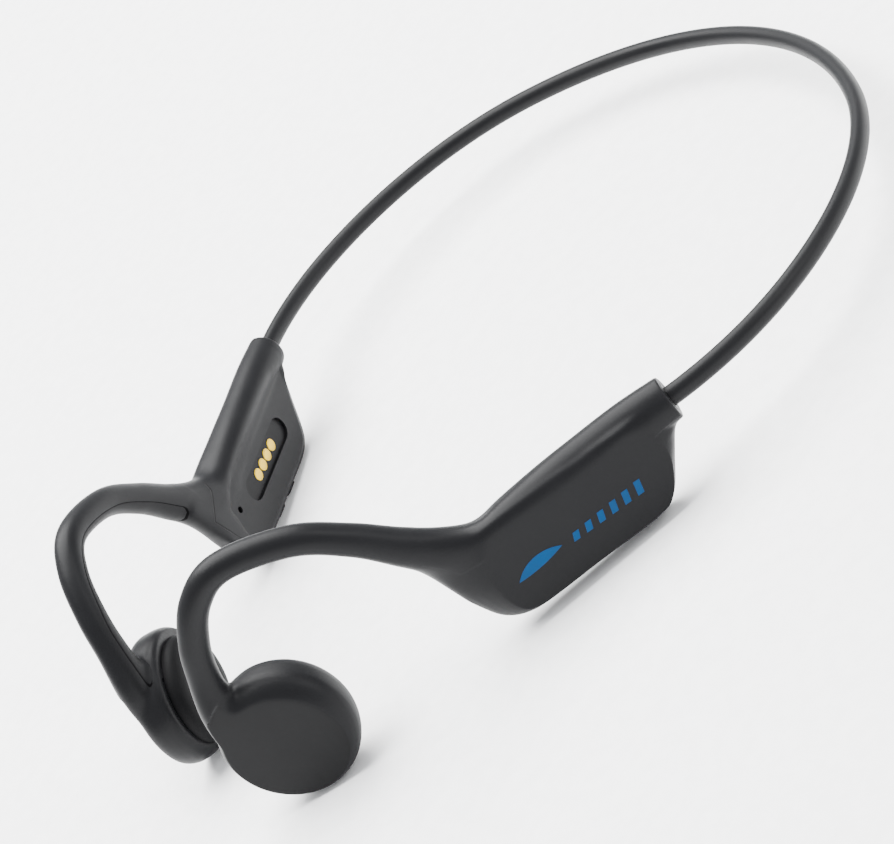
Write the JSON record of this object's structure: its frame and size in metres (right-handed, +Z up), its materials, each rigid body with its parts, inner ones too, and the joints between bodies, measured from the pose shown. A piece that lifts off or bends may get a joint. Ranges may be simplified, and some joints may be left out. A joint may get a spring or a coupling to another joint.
{
  "type": "bone conduction headphones",
  "caption": "Open-ear bone conduction headphones: a sprung neckband, two pods, ear hooks and round transducers, with magnetic charging contacts.",
  "frame": {"origin": "bottom centre of the whole object's box, as it rests level on the two transducers and the rear lower corners of the pods", "axes": "+X to the wearer's left, +Y to the wearer's back along the longest side, +Z up; the wearer faces -Y"},
  "size_m": [0.1374, 0.1544, 0.0424],
  "materials": {
    "silicone_skin": "soft matt silicone, charcoal",
    "pod_plastic": "fine matt moulded plastic, charcoal",
    "cap_plastic": "matt moulded plastic, near black",
    "pad_silicone": "smooth soft silicone, near black",
    "accent_blue": "blue printed inlay, slightly glossy",
    "contact_gold": "gold plated contact",
    "steel": "drawn spring wire",
    "magnet_nickel": "nickel plated magnet",
    "copper_coil": "enamelled copper winding",
    "cable_pvc": "flexible insulated lead",
    "board_green": "solder masked circuit board",
    "chip_black": "moulded chip",
    "shield_metal": "tinned shield can",
    "battery_foil": "aluminium pouch foil",
    "seal_silicone": "grey sealing silicone",
    "button_plastic": "matt moulded plastic, charcoal",
    "lens_clear": "clear light pipe",
    "mesh_metal": "fine woven metal mesh"
  },
  "bodies": {
    "neckband": {"neckband_sleeve": "silicone_skin", "neckband_spring_wire": "steel", "neckband_cable": "cable_pvc"},
    "left_side": {"left_band_collar": "silicone_skin", "left_driver_coil": "copper_coil", "left_driver_magnet": "magnet_nickel", "left_driver_post": "chip_black", "left_driver_spring_plate": "steel", "left_driver_yoke": "shield_metal", "left_hook_leads": "cable_pvc", "left_hook_sleeve": "silicone_skin", "left_hook_strip": "silicone_skin", "left_hook_wire": "steel", "left_inner_shell": "pod_plastic", "left_outer_shell": "silicone_skin", "left_shell_seal": "seal_silicone", "left_transducer_cap": "cap_plastic", "left_transducer_housing": "silicone_skin", "left_transducer_pad": "pad_silicone", "battery_cell": "battery_foil", "battery_protection_board": "board_green", "accent_inlay": "accent_blue"},
    "right_side": {"button_seal": "seal_silicone", "button_switches": "chip_black", "charge_contact_carrier": "pod_plastic", "charge_contacts": "contact_gold", "charge_magnets": "magnet_nickel", "indicator_lens": "lens_clear", "main_board": "board_green", "memory_chip": "chip_black", "microphone": "shield_metal", "microphone_mesh": "mesh_metal", "radio_module": "shield_metal", "right_band_collar": "silicone_skin", "right_driver_coil": "copper_coil", "right_driver_magnet": "magnet_nickel", "right_driver_post": "chip_black", "right_driver_spring_plate": "steel", "right_driver_yoke": "shield_metal", "right_hook_leads": "cable_pvc", "right_hook_sleeve": "silicone_skin", "right_hook_strip": "silicone_skin", "right_hook_wire": "steel", "right_inner_shell": "pod_plastic", "right_outer_shell": "silicone_skin", "right_shell_seal": "seal_silicone", "right_transducer_cap": "cap_plastic", "right_transducer_housing": "silicone_skin", "right_transducer_pad": "pad_silicone"},
    "volume_down_button": {"volume_down_button": "button_plastic"},
    "power_button": {"power_button": "button_plastic"},
    "volume_up_button": {"volume_up_button": "button_plastic"}
  },
  "joints": [
    {"name": "left_flex", "type": "hinge", "parent": "neckband", "child": "left_side", "pos_m": [0.04589, 0.06132, 0.00849], "axis": [0, 0.0889, 0.996], "range_deg": [0, 24], "stiffness_Nm_per_rad": 0.15, "deforming": ["neckband_sleeve", "neckband_spring_wire", "neckband_cable"]},
    {"name": "right_flex", "type": "hinge", "parent": "neckband", "child": "right_side", "pos_m": [-0.04589, 0.06132, 0.00849], "axis": [0, -0.0889, -0.996], "range_deg": [0, 24], "stiffness_Nm_per_rad": 0.15, "deforming": ["neckband_sleeve", "neckband_spring_wire", "neckband_cable"]},
    {"name": "volume_down_button_press", "type": "slide", "parent": "right_side", "child": "volume_down_button", "axis": [0, 0.0889, 0.996], "range_m": [0, 0.0004], "stiffness_N_per_m": 400},
    {"name": "power_button_press", "type": "slide", "parent": "right_side", "child": "power_button", "axis": [0, 0.0889, 0.996], "range_m": [0, 0.0004], "stiffness_N_per_m": 400},
    {"name": "volume_up_button_press", "type": "slide", "parent": "right_side", "child": "volume_up_button", "axis": [0, 0.0889, 0.996], "range_m": [0, 0.0004], "stiffness_N_per_m": 400}
  ]
}
